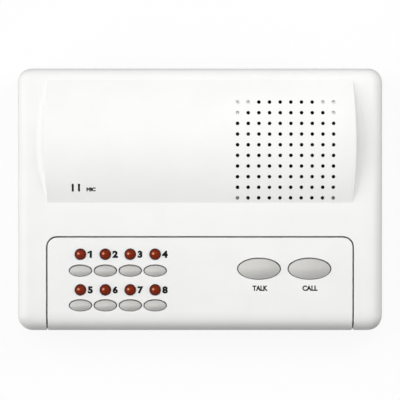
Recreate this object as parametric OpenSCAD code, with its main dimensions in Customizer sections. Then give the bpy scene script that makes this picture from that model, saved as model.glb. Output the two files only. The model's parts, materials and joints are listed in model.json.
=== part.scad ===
// Hands-free desk intercom: eight station keys with lamps, a talk key and a call key.
// Millimetres. +X right, +Y to the back edge, +Z up; Z = 0 is the desk under the feet.
// The face is tilted, so its pieces are placed in face coordinates:
// u to the right, v up the face from its middle, n square out of the face.

/* [Housing] */
// Width of the housing, left to right
body_w = 170; // [164:1:190]
// Length of the face, from its front edge to its back edge
body_l = 122; // [120:1:134]
// Height of the face above the underside, at the front edge
front_h = 29; // [28:0.5:36]
// Tilt of the face towards the user, in degrees
face_tilt = 5; // [4:0.5:8]
// Radius of the housing's corners, seen square to the face
corner_r = 6.5; // [5.5:0.5:9]
// Radius of the rounded edge between the face and the walls
edge_r = 5; // [4:0.5:6]
// Thickness of the moulded walls
wall = 2.2; // [1.8:0.1:2.6]
// Height of the parting line above the underside
parting_h = 12.5; // [12:0.5:14]
// Height of the base's tongue inside the upper walls
tongue_h = 2.5; // [2:0.5:3.5]
// Thickness of the tongue
tongue_t = 1.2; // [1:0.1:1.6]
// Clearance between pieces that slide into each other
slip = 0.2; // [0.15:0.05:0.3]

/* [Hood] */
// Distance of the hood's front crease before the middle of the face
hood_front = 1.4; // [0:0.1:3]
// Length of the hood, from its crease to where it runs into the back edge
hood_l = 57; // [54:0.1:57.3]
// Rise of the hood's crown above the face
hood_rise = 7; // [5.5:0.5:8]
// Radius of the hood's round sides, where they meet the face
hood_side_r = 76.6; // [75:0.1:78.5]
// Draft of the hood's sides, in degrees
hood_draft = 30; // [20:1:35]

/* [Grille] */
// Holes in a row, and rows
grille_n = 10; // [8:1:10]
// Distance between holes
grille_pitch = 4.95; // [4.6:0.05:5.1]
// Diameter of a hole
grille_hole = 1.8; // [1.2:0.1:2.1]
// Place of the grille's middle to the right of the face's middle
grille_x = 39.7; // [36:0.1:42]
// Place of the grille's middle above the face's middle
grille_v = 23.1; // [22:0.1:25]
// Depth of the blind holes outside the speaker's mouth
blind_depth = 1.2; // [0.8:0.1:1.5]

/* [Microphone] */
// Distance of the microphone from the left side
mic_side = 27.3; // [25:0.1:31]
// Place of the microphone above the face's middle
mic_v = 5.6; // [5:0.1:9]
// Width of a sound slot
slot_w = 1; // [0.8:0.1:1.3]
// Length of a sound slot
slot_l = 3.9; // [3:0.1:5]
// Distance between the two slots
slot_pitch = 2.9; // [2.4:0.1:3.4]
// Diameter of the microphone capsule
capsule_d = 9.7; // [9:0.1:10]
// Height of the microphone capsule
capsule_h = 5; // [4:0.5:6]
// Wall of the rubber boot around the capsule
boot_wall = 1.2; // [1:0.1:1.5]
// Diameter of the boot's sound hole
boot_hole = 4; // [3:0.5:6]

/* [Button panel] */
// Width of the button panel, to the middle of the seam
panel_w = 142.8; // [140:0.1:144]
// Length of the button panel on the face, from the front edge
panel_l = 43.6; // [43:0.1:46]
// Radius of the panel's two corners
panel_r = 4.7; // [3:0.1:6]
// Width of the seam around the panel
seam = 0.6; // [0.4:0.1:0.8]
// Reach of the panel's flange beyond the seam
flange_out = 4; // [3.6:0.1:4.4]
// Reach of the flange inside the seam
flange_in = 2; // [1.5:0.5:3]
// Thickness of the flange
flange_t = 1.6; // [1.2:0.1:2]
// Diameter of the moulded pins that stake the flange
stake_d = 2; // [1.6:0.1:2.2]

/* [Station keys] */
// Width of a station key's cap
station_w = 10.4; // [9.6:0.1:10.6]
// Height of a station key's cap, up the face
station_h = 5.2; // [4.6:0.1:6]
// Half height of the cap's blunt ends
station_end = 0.8; // [0.6:0.1:1.2]
// Place of the first column left of the middle
station_x = 55.7; // [54:0.1:56.5]
// Distance between columns
station_pitch = 11.6; // [11.4:0.1:11.8]
// Drop from the panel's top to the first row of keys
station_drop = 15.7; // [15:0.1:16.5]
// Distance between the rows of keys
station_row = 16.2; // [15.5:0.1:16.8]
// Height of the cap's rim above the panel
station_rim = 0.9; // [0.6:0.1:1.2]
// Height of the cap's crown above the panel
station_crown = 1.6; // [1.3:0.1:2]
// Travel of a station key
station_travel = 1; // [0.6:0.1:1.4]
// Gap around a cap in its hole
cap_gap = 0.25; // [0.2:0.05:0.35]

/* [Talk and call keys] */
// Width of the talk and call caps
talk_w = 19.9; // [18:0.1:21]
// Height of the talk and call caps, up the face
talk_h = 9.8; // [9:0.1:11]
// Half height of the caps' blunt ends
talk_end = 1.5; // [1.2:0.1:2.4]
// Place of the talk key right of the middle
talk_x = 27.5; // [26:0.1:29]
// Place of the call key right of the middle
call_x = 51; // [50:0.1:52]
// Drop from the panel's top to the talk and call keys
talk_drop = 14.8; // [13:0.1:18]
// Height of the rim above the panel
talk_rim = 1.3; // [1:0.1:1.6]
// Height of the crown above the panel
talk_crown = 2.6; // [2.2:0.1:3]
// Travel of the talk and call keys
talk_travel = 1.5; // [1:0.1:1.6]

/* [Switches and board] */
// Thickness of a cap's flange under the panel
cap_flange_t = 1; // [0.8:0.1:1.3]
// Overlap of a cap's flange with the panel
cap_lap = 1.4; // [1.1:0.1:1.6]
// Length of a cap's stem under its flange
stem_l = 1.4; // [1:0.1:2]
// Diameter of a cap's stem
stem_d = 4.2; // [3.6:0.1:4.8]
// Width of a switch body
switch_w = 7; // [6:0.1:7.4]
// Height of a switch body
switch_h = 5.3; // [5:0.1:6.5]
// Diameter of a switch plunger
plunger_d = 3.4; // [3:0.1:3.8]
// Height of a plunger above its switch
plunger_out = 2; // [1.8:0.1:2.4]
// Length of a plunger inside its switch
plunger_in = 2.6; // [2.2:0.1:2.9]
// Width of the key board
board_w = 136; // [134:0.5:137]
// Depth of the key board, up the face
board_l = 36; // [35.5:0.1:36.3]
// Gap between the panel's top line and the board's back edge
board_drop = 3; // [2.8:0.1:3.4]
// Thickness of the boards
board_t = 1.6; // [1.2:0.1:2]
// Diameter of the posts that carry the board
post_d = 5; // [4.6:0.1:5.6]
// Distance of the posts from the board's edges
post_inset = 2.9; // [2.8:0.1:3.2]

/* [Station lamps] */
// Diameter of a lamp's lens
lamp_d = 5; // [4.6:0.1:5.2]
// Gap around a lamp in its hole
lamp_gap = 0.2; // [0.15:0.05:0.3]
// Length of a lamp, from its flange to its tip
lamp_l = 8.6; // [8:0.1:9]
// Height of a lamp's tip above the panel
lamp_out = 2; // [1.5:0.1:2.4]
// Diameter of a lamp's flange
lamp_flange_d = 5.8; // [5.6:0.1:6]
// Drop from the panel's top to the first row of lamps
lamp_drop = 8.1; // [7.8:0.1:8.4]
// Distance between the rows of lamps
lamp_row = 16.6; // [16.3:0.1:16.9]
// Diameter of a lamp's lead wire
lead_d = 0.5; // [0.4:0.1:0.6]

/* [Speaker] */
// Diameter of the speaker
speaker_d = 57; // [56:0.5:58]
// Radius of the mouth in front of the speaker
mouth_r = 27; // [26.8:0.1:27.4]
// Depth of the speaker's seat under the face's inner side
seat_drop = 1.8; // [1.2:0.1:2.5]
// Thickness of the felt gasket
gasket_t = 1; // [0.6:0.1:1.5]
// Thickness of the basket's steel
basket_t = 0.8; // [0.6:0.1:1]
// Depth of the basket behind its rim
basket_depth = 10; // [9:0.5:11]
// Thickness of the cone's paper
cone_t = 0.3; // [0.3:0.1:0.5]
// Diameter of the magnet
magnet_d = 31; // [28:0.5:33]
// Thickness of the magnet
magnet_t = 7; // [6:0.5:8]
// Thickness of the clips that hold the speaker
clip_t = 1; // [0.8:0.1:1.2]

/* [Base and wiring] */
// Thickness of the base's floor
floor_t = 2.5; // [2.2:0.1:3]
// Height of the feet under the base
foot_h = 2.5; // [2:0.1:4]
// Diameter of the feet
foot_d = 12; // [10:0.5:13]
// Depth of the recesses that hold the feet
foot_recess = 0.8; // [0.6:0.1:1.2]
// Place of the feet left and right of the middle
foot_x = 63; // [62:0.1:66]
// Distance of the feet and screws from the underside's front and back edges
foot_inset = 12; // [11.5:0.5:14]
// Width of the wiring bay
bay_w = 102; // [100:0.5:104]
// Depth of the wiring bay, from its back wall to the housing's back
bay_l = 22; // [21:0.5:23]
// Height of the wiring bay above the underside
bay_h = 9; // [8.5:0.1:9.2]
// Thickness of the bay's walls
bay_wall = 2; // [1.6:0.1:2.2]
// Ways of the terminal block
ways = 12; // [8:1:12]
// Distance between the ways
way_pitch = 8; // [7.6:0.1:8.2]
// Depth of the terminal block
block_l = 12; // [11:0.1:13]
// Height of the terminal block
block_h = 7; // [6.5:0.1:7.5]
// Distance between the two keyholes for wall screws
keyhole_pitch = 83.5; // [80:0.1:90]
// Diameter of a keyhole's round entry
keyhole_d = 8.5; // [8:0.1:9]
// Width of a keyhole's slot
keyslot_w = 4.4; // [4:0.1:4.6]
// Length of a keyhole's slot, from the middle of the entry
keyslot_l = 8; // [7:0.1:9]
// Place of the power jack left of the middle
jack_x = 63; // [62:0.1:64]
// Width of the power jack's body
jack_w = 9; // [8:0.1:10]
// Diameter of the power jack's collar
jack_collar = 7.6; // [7:0.1:7.8]
// Diameter of the power jack's bore
jack_bore = 5.6; // [5.4:0.1:5.8]
// Diameter of the power jack's pin
jack_pin = 2; // [1.9:0.1:2.1]

/* [Screws] */
// Diameter of a case screw's shank
case_screw_d = 3; // [2.8:0.1:3.2]
// Diameter of a case screw's head
case_head_d = 5.5; // [5:0.1:5.8]
// Length of a case screw's shank
case_screw_l = 14; // [12:0.5:16]
// Diameter of a small screw's shank
small_screw_d = 2; // [1.8:0.1:2.2]
// Diameter of a small screw's head
small_head_d = 3.8; // [3.6:0.1:4.2]
// Length of a small screw's shank
small_screw_l = 5; // [4.5:0.5:5.5]
// Clearance around a screw's shank
screw_gap = 0.1; // [0.05:0.05:0.2]

/* [Hidden] */
$fn = 64;

shell_white = "#f1f0ec";
key_grey = "#bfc0c1";
lamp_red = "#8e2a18";
board_tan = "#b08a52";
black_plastic = "#2b2b2d";
steel = "#b9bcc0";

// The housing's place: face height at its middle, and the shift that centres it over the origin
half_w = body_w / 2;
mic_x = half_w - mic_side;
half_l = body_l / 2;
parting_z = foot_h + parting_h;
face_z = foot_h + front_h + half_l * sin(face_tilt);
back_z = face_z + half_l * sin(face_tilt);
y_front = -(half_l - edge_r) * cos(face_tilt) + edge_r * sin(face_tilt) - edge_r;
y_back = half_l * cos(face_tilt) + (back_z - foot_h) * tan(face_tilt);
face_y = -(y_front + y_back) / 2;
reach = body_w + body_l;

// Hood: an arc along X, cut by one cone
hood_v = hood_l / 2 - hood_front;
hood_arc = (hood_l * hood_l / 4 + hood_rise * hood_rise) / (2 * hood_rise);
hood_slope = asin(hood_l / 2 / hood_arc);

// Levels under the panel, along n
panel_v = -half_l + panel_l;
rest_gap = 0.1;
cap_n = -wall - rest_gap;
plunger_n = cap_n - cap_flange_t - stem_l;
switch_n = plunger_n - plunger_out;
board_n = switch_n - switch_h;
board_v = panel_v - board_drop - board_l / 2;
lamp_n = lamp_out - lamp_l;
lamp_flange_t = 1;
post_x = board_w / 2 - post_inset;
post_v = board_l / 2 - post_inset;
flange_gap = 0.05;
flange_end = 1.5;
stake_head_h = 0.8;
stake_head_d = 1.8 * stake_d;
stake_out = 0.55 * flange_out;
stake_us = [-45, 0, 45];
stake_drops = [11, 31];
flange_share = 0.72;
lead_us = [-1.27, 1.27];
lead_end = 1.2;
chip_size = [19, 6.4, 3.4];
chip_stand = 0.6;
leg_pitch = 2.54;
leg_size = [0.6, 0.8, 2];
chip_uv = [3, board_v + 4];
capacitor_d = 6.3;
capacitor_h = 7;
capacitor_pitch = 8;
capacitor_v = board_v - 8;

// Speaker levels under its seat, along n
seat_n = -wall - seat_drop;
speaker_r = speaker_d / 2;
rim_w = 3.2;
seat_w = 2.5;
basket_top = gasket_t + cone_t;
clip_out = 4.7;
clip_r = speaker_r + clip_out;
clip_hold = 2;
clip_z = -basket_top - basket_t;
clip_boss_d = 6.4;
clip_w = 7;
clip_turns = [45, 135, 225, 315];
plate_r = magnet_d / 2 + 1.5;
cone_in = 8;
cone_depth = 7.6;
cap_ball = 12;
pole_d = 12;
pole_h = 2.4;

// Microphone levels, along n: the boot lies under the lowest inner edge of the hood around it
boot_d = capsule_d + 2 * boot_wall;
boot_front = 1;
boot_gap = 0.4;
boot_n = -wall - boot_gap;
boot_back = boot_n - boot_front - capsule_h;
holder_wall = 1.4;

// Base levels, along Z
floor_z = foot_h + floor_t;
bay_z = foot_h + bay_h;
line_z = bay_z + bay_wall;
screw_inset = 2.6;
screw_x = half_w - wall - screw_inset;
base_back_y = y_back + face_y;
bay_y = base_back_y - bay_l;
base_front_y = -half_l * cos(face_tilt) + front_h * tan(face_tilt) + face_y;
foot_ys = [base_front_y + foot_inset, base_back_y - foot_inset];
case_post_d = 7;
sleeve_d = case_head_d + 3.6;
head_h = 2;
counter_h = 6.5;
counter_z = foot_h + counter_h;
cross_w = 0.8;
small_head_h = 1.3;
small_cross_w = 0.6;
pilot_spare = 0.5;
keyhole_y = 6;

// Terminal block, wired from the bay, and the line board above it
block_y = bay_y + slip;
block_w = ways * way_pitch;
block_z = bay_z - block_h;
key_w = 2.6;
key_end = 1;
way_y = block_y + block_l / 2;
way_head_d = 4.8;
way_head_h = 1.6;
way_screw_d = 2.6;
way_screw_l = 2.8;
way_sink = 2.2;
way_mouth = [4, 3];
line_end = 1.5;
line_gap = 1;
line_left = -jack_x - jack_w / 2 - line_end;
line_right = bay_w / 2;
line_l = 15;
jack_l = 13;
jack_lean = (line_z - foot_h) * tan(face_tilt);
jack_gap = tongue_t + 2 * slip + jack_lean;
jack_back = 4;
jack_y = base_back_y - wall - jack_l - jack_gap;
jack_z = (floor_z + line_z) / 2;
cradle_t = 1.4;
cradle_root = 0.5;
cradle_drop = 2;

// Places on the face
station_uv = [for (i = [0:7]) [-station_x + (i % 4) * station_pitch,
                               panel_v - station_drop - floor(i / 4) * station_row]];
lamp_uv = [for (i = [0:7]) [-station_x + (i % 4) * station_pitch,
                            panel_v - lamp_drop - floor(i / 4) * lamp_row]];
talk_uv = [talk_x, panel_v - talk_drop];
call_uv = [call_x, panel_v - talk_drop];
key_uv = concat(station_uv, [talk_uv, call_uv]);
stake_uv = concat([for (u = stake_us) [u, panel_v + stake_out]],
                  [for (s = [-1, 1], d = stake_drops) [s * (panel_w / 2 + stake_out), panel_v - d]]);
post_uv = [for (x = [-1, 1], y = [-1, 1]) [x * post_x, board_v + y * post_v]];
way_xs = [for (i = [0:ways - 1]) (i - (ways - 1) / 2) * way_pitch];
clip_uv = [for (a = clip_turns) [grille_x + clip_r * cos(a), grille_v + clip_r * sin(a)]];

// A point in face coordinates, in the part's frame
function on(u, v, n) = [u,
                        face_y + v * cos(face_tilt) - n * sin(face_tilt),
                        face_z + v * sin(face_tilt) + n * cos(face_tilt)];
// Height of the hood's outer surface above the face
function hood_n(v) = hood_rise - hood_arc + sqrt(hood_arc * hood_arc - (v - hood_v) * (v - hood_v));

module on_face() {
    translate([0, face_y, face_z]) rotate([face_tilt, 0, 0]) children();
}

module at(u, v, n = 0) {
    on_face() translate([u, v, n]) children();
}

// Everything between two heights
module between(z0, z1) {
    translate([-reach, -reach, z0]) cube([2 * reach, 2 * reach, z1 - z0]);
}

// Half of a wall's section: a plate of half width h with rounded upper edges
module edge_section(h, r) {
    translate([-h, -reach]) square([2 * h, reach - r]);
    translate([r - h, -reach]) square([2 * (h - r), reach]);
    for (s = [-1, 1]) translate([s * (h - r), -r]) circle(r);
}

// The housing's outer form, drawn in by an inset, in face coordinates
module slab(inset) {
    r = edge_r - inset > 0.6 ? edge_r - inset : 0.6;
    c = corner_r - inset > r ? corner_r - inset : r + 0.1;
    w = half_w - inset;
    l = half_l - inset;
    translate([0, 0, -inset]) {
        rotate([90, 0, 90]) linear_extrude(2 * (w - c), center = true) edge_section(l, r);
        rotate([90, 0, 0]) linear_extrude(2 * (l - c), center = true) edge_section(w, r);
        for (x = [-1, 1], y = [-1, 1]) translate([x * (w - c), y * (l - c), 0])
            rotate_extrude() intersection() {
                edge_section(c, r);
                translate([0, -reach]) square([c, reach]);
            }
    }
}

// The hood's form, drawn in by an inset, in face coordinates
module hood(inset) {
    low = -inset - wall / 4;
    base = hood_side_r - inset / cos(hood_draft) - low * tan(hood_draft);
    high = hood_rise + 1;
    intersection() {
        translate([0, hood_v, hood_rise - hood_arc]) rotate([0, 90, 0])
            cylinder(r = hood_arc - inset, h = 2 * half_w, center = true);
        translate([0, hood_v, low])
            cylinder(r1 = base, r2 = base - (high - low) * tan(hood_draft), h = high - low);
    }
}

// Outline of the button panel, grown by an amount, running past the front edge
module panel_plan(grow, front = reach) {
    w = panel_w / 2 + grow;
    r = panel_r + grow;
    translate([-w, -front]) square([2 * w, front + panel_v + grow - r]);
    translate([r - w, -front]) square([2 * (w - r), front + panel_v + grow]);
    for (s = [-1, 1]) translate([s * (w - r), panel_v + grow - r]) circle(r);
}

// An oval from two long arcs and two round ends
module oval(w, h, end) {
    sag = h / 2 - end;
    r = (w * w / 4 + sag * sag) / (2 * sag);
    intersection() {
        translate([0, h / 2 - r]) circle(r, $fn = 128);
        translate([0, r - h / 2]) circle(r, $fn = 128);
        circle(d = w, $fn = 128);
    }
}

// Everything inside half the wall's thickness, for ribs and posts to grow into the walls
module inside() {
    on_face() {
        slab(wall / 2);
        hood(wall / 2);
    }
}

module cover_posts() {
    intersection() {
        inside();
        between(parting_z, reach);
        for (s = [-1, 1], y = foot_ys) translate([s * screw_x, y, 0])
            cylinder(d = case_post_d, h = reach);
    }
}

module speaker_mounts() {
    intersection() {
        inside();
        union() {
            at(grille_x, grille_v, seat_n) difference() {
                cylinder(r = mouth_r + seat_w, h = reach);
                translate([0, 0, -1]) cylinder(r = mouth_r, h = reach + 2);
            }
            for (p = clip_uv) at(p[0], p[1], seat_n + clip_z) cylinder(d = clip_boss_d, h = reach);
            at(-mic_x, mic_v, boot_back) difference() {
                cylinder(d = boot_d + 2 * slip + 2 * holder_wall, h = reach);
                translate([0, 0, -1]) cylinder(d = boot_d + 2 * slip, h = reach + 2);
            }
        }
    }
}

module panel_stakes() {
    under = -wall - 2 * flange_gap - flange_t;
    for (p = stake_uv) at(p[0], p[1], under - stake_head_h) {
        cylinder(d = stake_d, h = stake_head_h + flange_t + wall);
        cylinder(d = stake_head_d, h = stake_head_h);
    }
}

module grille_holes() {
    through = wall / cos(hood_slope) + 1;
    half = (grille_n - 1) / 2;
    for (i = [0:grille_n - 1], j = [0:grille_n - 1]) {
        u = (i - half) * grille_pitch;
        v = (j - half) * grille_pitch;
        depth = norm([u, v]) + grille_hole / 2 < mouth_r ? through : blind_depth;
        at(grille_x + u, grille_v + v, hood_n(grille_v + v) - depth)
            cylinder(d = grille_hole, h = depth + 2);
    }
}

module front_cover() {
    color(shell_white) difference() {
        union() {
            intersection() {
                difference() {
                    on_face() {
                        slab(0);
                        hood(0);
                    }
                    on_face() slab(wall);
                    on_face() hood(wall);
                    on_face() translate([0, 0, -reach]) linear_extrude(2 * reach) panel_plan(seam / 2);
                }
                between(parting_z, reach);
            }
            cover_posts();
            speaker_mounts();
            panel_stakes();
        }
        grille_holes();
        for (s = [-1, 1]) at(-mic_x + s * slot_pitch / 2, mic_v, -wall)
            translate([-slot_w / 2, -slot_l / 2, 0]) cube([slot_w, slot_l, wall + hood_rise + 1]);
        for (s = [-1, 1], y = foot_ys) translate([s * screw_x, y, parting_z - 1])
            cylinder(d = case_screw_d + 2 * screw_gap, h = case_screw_l - (parting_z - counter_z) + 2);
        for (p = clip_uv) at(p[0], p[1], seat_n + clip_z - 1)
            cylinder(d = small_screw_d + 2 * screw_gap, h = small_screw_l - clip_t + pilot_spare + 1);
    }
}

module panel_posts() {
    for (p = post_uv) at(p[0], p[1], board_n) cylinder(d = post_d, h = -board_n - wall / 2);
}

module panel_flange() {
    front = half_l - edge_r - flange_end;
    at(0, 0, -wall - flange_gap - flange_t) {
        linear_extrude(flange_t) difference() {
            panel_plan(flange_out, front);
            panel_plan(-flange_in);
        }
        linear_extrude(flange_t + wall / 2) difference() {
            panel_plan(-seam, front);
            panel_plan(-flange_in);
        }
    }
}

module button_panel() {
    color(shell_white) difference() {
        union() {
            intersection() {
                difference() {
                    on_face() slab(0);
                    on_face() slab(wall);
                }
                between(parting_z, reach);
                on_face() translate([0, 0, -reach]) linear_extrude(2 * reach) panel_plan(-seam / 2);
            }
            panel_flange();
            panel_posts();
        }
        for (p = stake_uv) at(p[0], p[1], -reach) cylinder(d = stake_d + 2 * slip, h = reach);
        for (p = station_uv) at(p[0], p[1], -2 * wall) linear_extrude(4 * wall)
            oval(station_w + 2 * cap_gap, station_h + 2 * cap_gap, station_end + cap_gap);
        for (p = [talk_uv, call_uv]) at(p[0], p[1], -2 * wall) linear_extrude(4 * wall)
            oval(talk_w + 2 * cap_gap, talk_h + 2 * cap_gap, talk_end + cap_gap);
        for (p = lamp_uv) at(p[0], p[1], -2 * wall) cylinder(d = lamp_d + 2 * lamp_gap, h = 4 * wall);
        for (p = post_uv) at(p[0], p[1], board_n - 1)
            cylinder(d = small_screw_d + 2 * screw_gap, h = small_screw_l - board_t + pilot_spare + 1);
    }
}

module base_sleeves() {
    intersection() {
        on_face() slab(wall / 2);
        between(foot_h, parting_z);
        for (s = [-1, 1], y = foot_ys) translate([s * screw_x, y, 0])
            cylinder(d = sleeve_d, h = reach);
    }
}

module bay_box(grow) {
    translate([-bay_w / 2 - grow, bay_y - grow, 0]) cube([bay_w + 2 * grow, reach, bay_z + grow]);
}

module jack_cradle() {
    off = (jack_w + cradle_t) / 2 + slip;
    for (s = [-1, 1]) translate([-jack_x + s * off - cradle_t / 2, jack_y, floor_z - cradle_root])
        cube([cradle_t, jack_l, cradle_root + line_z - floor_z - cradle_drop]);
}

// The key of the terminal block in the bay's ceiling, or its slot
module block_key(gap, low, high) {
    translate([-block_w / 2 + key_end + gap, way_y - key_w / 2 + gap, low])
        cube([block_w - 2 * key_end - 2 * gap, key_w - 2 * gap, high - low]);
}

module keyhole() {
    cylinder(d = keyhole_d, h = 3 * floor_t, center = true);
    translate([-keyslot_w / 2, 0, -1.5 * floor_t]) cube([keyslot_w, keyslot_l, 3 * floor_t]);
    translate([0, keyslot_l, 0]) cylinder(d = keyslot_w, h = 3 * floor_t, center = true);
}

module rear_cover() {
    color(shell_white) difference() {
        union() {
            difference() {
                intersection() {
                    on_face() slab(0);
                    between(foot_h, parting_z);
                }
                intersection() {
                    on_face() slab(wall);
                    between(floor_z, reach);
                }
            }
            difference() {
                intersection() {
                    on_face() slab(wall + slip);
                    between(parting_z - tongue_h, parting_z + tongue_h);
                }
                on_face() slab(wall + slip + tongue_t);
            }
            difference() {
                intersection() {
                    on_face() slab(wall / 2);
                    between(parting_z - tongue_h, parting_z);
                }
                on_face() slab(wall + slip + tongue_t);
            }
            base_sleeves();
            jack_cradle();
            intersection() {
                on_face() slab(wall / 2);
                between(foot_h, parting_z);
                bay_box(bay_wall);
            }
        }
        bay_box(0);
        block_key(0, 0, line_z + 1);
        for (s = [-1, 1], y = foot_ys) {
            translate([s * screw_x, y, -1]) cylinder(d = case_head_d + 2 * slip, h = counter_z + 1);
            translate([s * screw_x, y, 0]) cylinder(d = case_screw_d + 4 * screw_gap, h = reach);
            translate([s * screw_x, y, parting_z]) cylinder(d = case_post_d + 4 * slip, h = reach);
            translate([s * foot_x, y, 0]) cylinder(d = foot_d + 2 * slip, h = foot_h + foot_recess);
        }
        for (s = [-1, 1]) translate([s * keyhole_pitch / 2, keyhole_y, foot_h]) keyhole();
        translate([-jack_x, jack_y, jack_z]) rotate([-90, 0, 0])
            cylinder(d = jack_collar + 2 * slip, h = reach);
    }
}

module rubber_feet() {
    color("#3a3a3c") for (s = [-1, 1], y = foot_ys) translate([s * foot_x, y, 0])
        cylinder(d = foot_d, h = foot_h + foot_recess);
}

// A screw with its head's upper side at the origin and a cross recess below
module screw(d, l, head_d, h, cross) {
    difference() {
        translate([0, 0, -h]) {
            cylinder(d = head_d, h = h);
            cylinder(d = d, h = h + l);
        }
        for (a = [0, 90]) rotate(a) translate([-head_d / 4, -cross / 2, -2 * h])
            cube([head_d / 2, cross, 1.5 * h]);
    }
}

module case_screws() {
    color(steel) for (s = [-1, 1], y = foot_ys) translate([s * screw_x, y, counter_z])
        screw(case_screw_d, case_screw_l, case_head_d, head_h, cross_w);
}

module small_screw() {
    screw(small_screw_d, small_screw_l, small_head_d, small_head_h, small_cross_w);
}

module small_screws() {
    color(steel) {
        for (p = post_uv) at(p[0], p[1], board_n - board_t) small_screw();
        for (p = clip_uv) at(p[0], p[1], seat_n + clip_z - clip_t) small_screw();
    }
}

// A key: an oval cap with a pillow crown, a flange that stops it and a stem to its switch
module key(uv, w, h, end, rim, crown) {
    sag = crown - rim;
    across = (h * h / 4 + sag * sag) / (2 * sag);
    along = (w * w / 4 + sag * sag) / (2 * sag);
    color(key_grey) at(uv[0], uv[1]) {
        translate([0, 0, cap_n - cap_flange_t]) linear_extrude(rim / 2 + cap_flange_t - cap_n)
            oval(w, h, end);
        intersection() {
            linear_extrude(crown + 1) oval(w, h, end);
            translate([0, 0, crown - across]) rotate([0, 90, 0]) rotate_extrude($fn = 128) intersection() {
                translate([across - along, 0]) circle(along, $fn = 256);
                translate([0, -w]) square([across, 2 * w]);
            }
        }
        translate([-w * flange_share / 2, -h / 2 - cap_lap, cap_n - cap_flange_t])
            cube([w * flange_share, h + 2 * cap_lap, cap_flange_t]);
        translate([0, 0, plunger_n]) cylinder(d = stem_d, h = stem_l + cap_flange_t);
    }
}

module station_key(i) {
    key(station_uv[i - 1], station_w, station_h, station_end, station_rim, station_crown);
}

module wide_key(uv) {
    key(uv, talk_w, talk_h, talk_end, talk_rim, talk_crown);
}

module plunger(uv) {
    color("#e8e6df") at(uv[0], uv[1], switch_n - plunger_in)
        cylinder(d = plunger_d, h = plunger_in + plunger_out);
}

module push_switches() {
    bore = plunger_in + max(station_travel, talk_travel) + 0.2;
    color(black_plastic) for (p = key_uv) at(p[0], p[1]) difference() {
        translate([-switch_w / 2, -switch_w / 2, board_n]) cube([switch_w, switch_w, switch_h]);
        translate([0, 0, switch_n - bore]) cylinder(d = plunger_d + 2 * slip, h = bore + 1);
    }
}

module station_lamp(i) {
    p = lamp_uv[i - 1];
    color(lamp_red) at(p[0], p[1]) {
        translate([0, 0, lamp_n]) cylinder(d = lamp_flange_d, h = lamp_flange_t);
        translate([0, 0, lamp_n]) cylinder(d = lamp_d, h = lamp_l - lamp_d / 2);
        translate([0, 0, lamp_out - lamp_d / 2]) sphere(d = lamp_d);
    }
}

module lamp_spacers() {
    color("#dcdad2") for (p = lamp_uv) at(p[0], p[1], board_n) difference() {
        cylinder(d = lamp_flange_d, h = lamp_n - board_n);
        for (u = lead_us) translate([u, 0, -1]) cylinder(d = lead_d + 2 * slip, h = reach);
    }
}

module lamp_leads() {
    color(steel) for (p = lamp_uv, u = lead_us) at(p[0] + u, p[1], board_n - board_t - lead_end)
        cylinder(d = lead_d, h = lamp_n - board_n + board_t + lead_end);
}

module key_board() {
    color(board_tan) difference() {
        at(-board_w / 2, board_v - board_l / 2, board_n - board_t) cube([board_w, board_l, board_t]);
        for (p = post_uv) at(p[0], p[1], board_n - board_t - 1)
            cylinder(d = small_screw_d + 2 * screw_gap, h = board_t + 2);
        for (p = lamp_uv, u = lead_us) at(p[0] + u, p[1], board_n - board_t - 1)
            cylinder(d = lead_d + 2 * screw_gap, h = board_t + 2);
    }
}

module amplifier_chip() {
    color(black_plastic) at(chip_uv[0], chip_uv[1], board_n) {
        translate([-chip_size[0] / 2, -chip_size[1] / 2, chip_stand]) cube(chip_size);
        for (i = [-3:3], s = [-1, 1]) translate([i * leg_pitch, s * (chip_size[1] + leg_size[1] / 2) / 2, 0])
            translate([-leg_size[0] / 2, -leg_size[1] / 2, 0]) cube(leg_size);
    }
}

module capacitors() {
    color("#31405c") for (i = [-1:1]) at(chip_uv[0] + i * capacitor_pitch, capacitor_v, board_n)
        cylinder(d = capacitor_d, h = capacitor_h);
}

module at_speaker() {
    at(grille_x, grille_v, seat_n) children();
}

module speaker_gasket() {
    color("#55524c") at_speaker() translate([0, 0, -gasket_t]) difference() {
        cylinder(r = speaker_r, h = gasket_t);
        translate([0, 0, -1]) cylinder(r = mouth_r - 0.6, h = gasket_t + 2);
    }
}

module speaker_cone() {
    lip = speaker_r - rim_w - 1;
    color("#2e2b28") at_speaker() rotate_extrude() polygon([
        [speaker_r, -gasket_t], [lip, -gasket_t],
        [cone_in, -gasket_t - cone_depth], [cone_in, -gasket_t - cone_depth - 2 * cone_t],
        [lip, -basket_top], [speaker_r, -basket_top]]);
}

module speaker_dust_cap() {
    rim = cap_ball * cos(asin((cone_in - screw_gap) / cap_ball));
    color("#1f1d1b") at_speaker() translate([0, 0, -gasket_t - cone_depth]) intersection() {
        translate([0, 0, -rim]) difference() {
            sphere(cap_ball);
            sphere(cap_ball - cone_t);
        }
        cylinder(r = cap_ball, h = cap_ball);
    }
}

module speaker_basket() {
    top = -basket_top;
    low = top - basket_depth;
    rim = speaker_r - rim_w;
    color(steel) at_speaker() rotate_extrude() polygon([
        [speaker_r, top], [rim, top], [rim, top - 0.2], [plate_r - basket_t, low],
        [cone_in + 1.5, low], [cone_in + 1.5, low - basket_t], [plate_r, low - basket_t],
        [rim + basket_t, top - basket_t], [speaker_r, top - basket_t]]);
}

module speaker_magnet() {
    color("#3c3d40") at_speaker() translate([0, 0, -basket_top - basket_depth - basket_t]) {
        translate([0, 0, -magnet_t]) cylinder(d = magnet_d, h = magnet_t);
        cylinder(d = pole_d, h = pole_h);
    }
}

module speaker_clips() {
    color(steel) at_speaker() for (a = clip_turns) rotate([0, 0, a]) translate([0, 0, clip_z - clip_t])
        difference() {
            translate([speaker_r - clip_hold, -clip_w / 2, 0])
                cube([clip_hold + clip_out + clip_w / 2, clip_w, clip_t]);
            translate([clip_r, 0, -1]) cylinder(d = small_screw_d + 2 * screw_gap, h = clip_t + 2);
        }
}

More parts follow.
